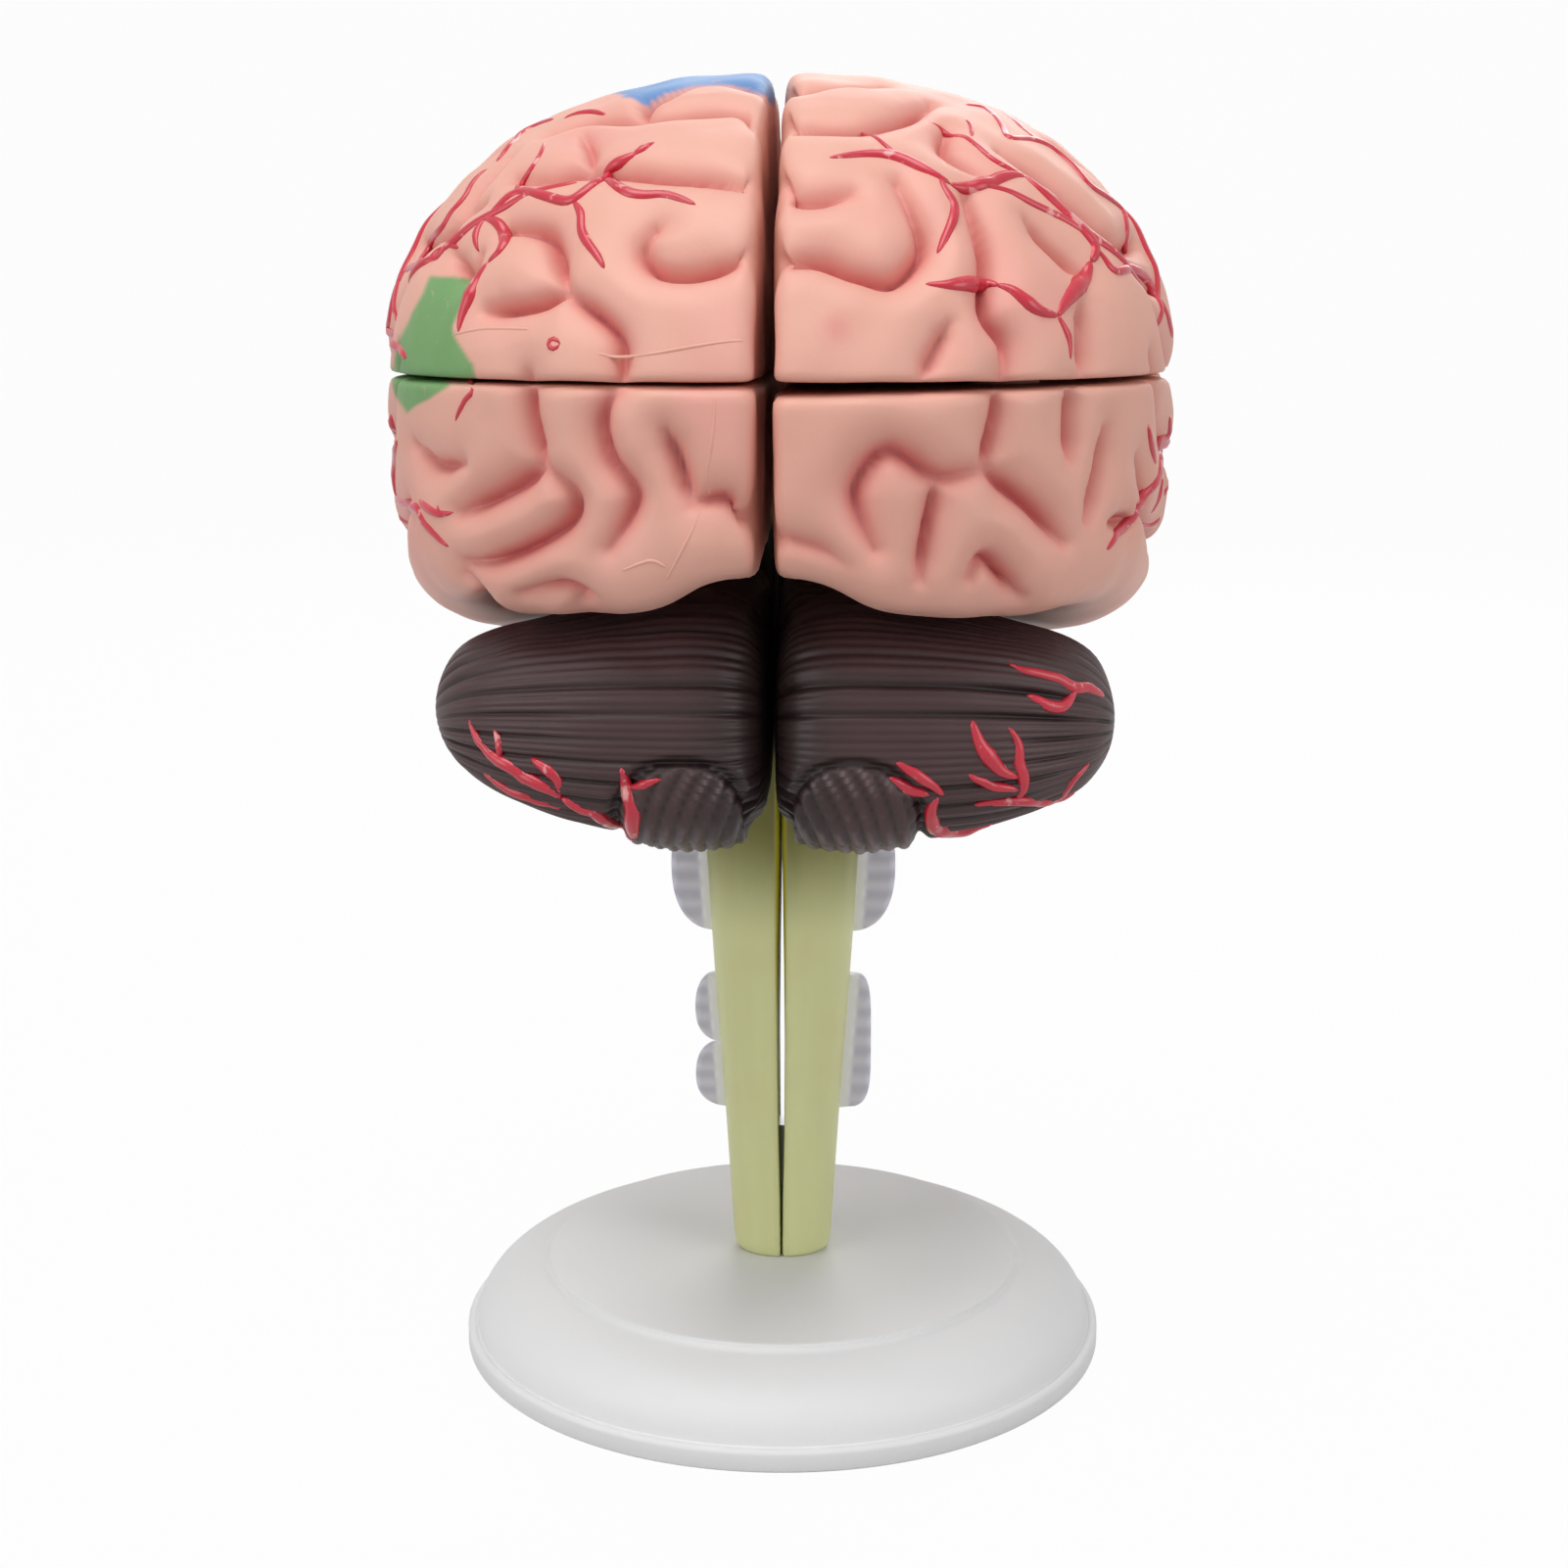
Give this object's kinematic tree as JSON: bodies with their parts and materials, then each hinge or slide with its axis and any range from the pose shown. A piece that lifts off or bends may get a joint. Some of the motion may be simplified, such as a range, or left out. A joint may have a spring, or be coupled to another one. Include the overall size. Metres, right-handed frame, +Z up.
{
  "type": "brain anatomy model",
  "caption": "Life-size take-apart teaching model of a human brain on a round stand, its folded halves, brain stem and cerebellum held by pegs.",
  "frame": {"origin": "centre of the stand's foot, on the surface it stands on", "axes": "+Z up, +Y towards the forehead, +X to the model's right"},
  "size_m": [0.139, 0.1655, 0.2361],
  "materials": {
    "cerebrum_vinyl": "soft vinyl, hand painted",
    "cerebellum_vinyl": "dark semi-gloss vinyl",
    "stem_vinyl": "soft vinyl, yellow-green",
    "root_plastic": "white ribbed plastic",
    "stand_plastic": "smooth moulded, off-white",
    "peg_plastic": "plain",
    "steel": "plated"
  },
  "bodies": {
    "stand": {"base_shell": "stand_plastic", "support_rod": "steel", "rod_washer": "steel", "rod_nut": "steel"},
    "stem_right": {"brain_stem_right": "stem_vinyl", "nerve_roots_upper_right": "root_plastic", "nerve_roots_lower_right": "root_plastic", "stem_joining_pegs": "peg_plastic", "side_peg_right": "peg_plastic", "cerebellum_peg_right": "peg_plastic"},
    "stem_left": {"brain_stem_left": "stem_vinyl", "nerve_roots_upper_left": "root_plastic", "nerve_roots_lower_left": "root_plastic", "side_peg_left": "peg_plastic", "cerebellum_peg_left": "peg_plastic"},
    "lower_right": {"lower_cerebrum_right": "cerebrum_vinyl", "lift_pegs_right": "peg_plastic"},
    "lower_left": {"lower_cerebrum_left": "cerebrum_vinyl", "lift_pegs_left": "peg_plastic"},
    "upper_right": {"upper_cerebrum_right": "cerebrum_vinyl"},
    "upper_left": {"upper_cerebrum_left": "cerebrum_vinyl"},
    "cerebellum_right": {"cerebellum_right": "cerebellum_vinyl"},
    "cerebellum_left": {"cerebellum_left": "cerebellum_vinyl"}
  },
  "joints": [
    {"name": "brain_lift", "type": "slide", "parent": "stand", "child": "stem_right", "axis": [0, 0, 1], "range_m": [0, 0.03]},
    {"name": "left_half_pull", "type": "slide", "parent": "stem_right", "child": "stem_left", "axis": [-1, 0, 0], "range_m": [0, 0.009]},
    {"name": "lower_right_pull", "type": "slide", "parent": "stem_right", "child": "lower_right", "axis": [1, 0, 0], "range_m": [0, 0.012]},
    {"name": "lower_left_pull", "type": "slide", "parent": "stem_left", "child": "lower_left", "axis": [-1, 0, 0], "range_m": [0, 0.012]},
    {"name": "upper_right_lift", "type": "slide", "parent": "lower_right", "child": "upper_right", "axis": [0, 0, 1], "range_m": [0, 0.012]},
    {"name": "upper_left_lift", "type": "slide", "parent": "lower_left", "child": "upper_left", "axis": [0, 0, 1], "range_m": [0, 0.012]},
    {"name": "cerebellum_right_pull", "type": "slide", "parent": "stem_right", "child": "cerebellum_right", "axis": [0, -0.8, -0.6], "range_m": [0, 0.014]},
    {"name": "cerebellum_left_pull", "type": "slide", "parent": "stem_left", "child": "cerebellum_left", "axis": [0, -0.8, -0.6], "range_m": [0, 0.014]}
  ]
}
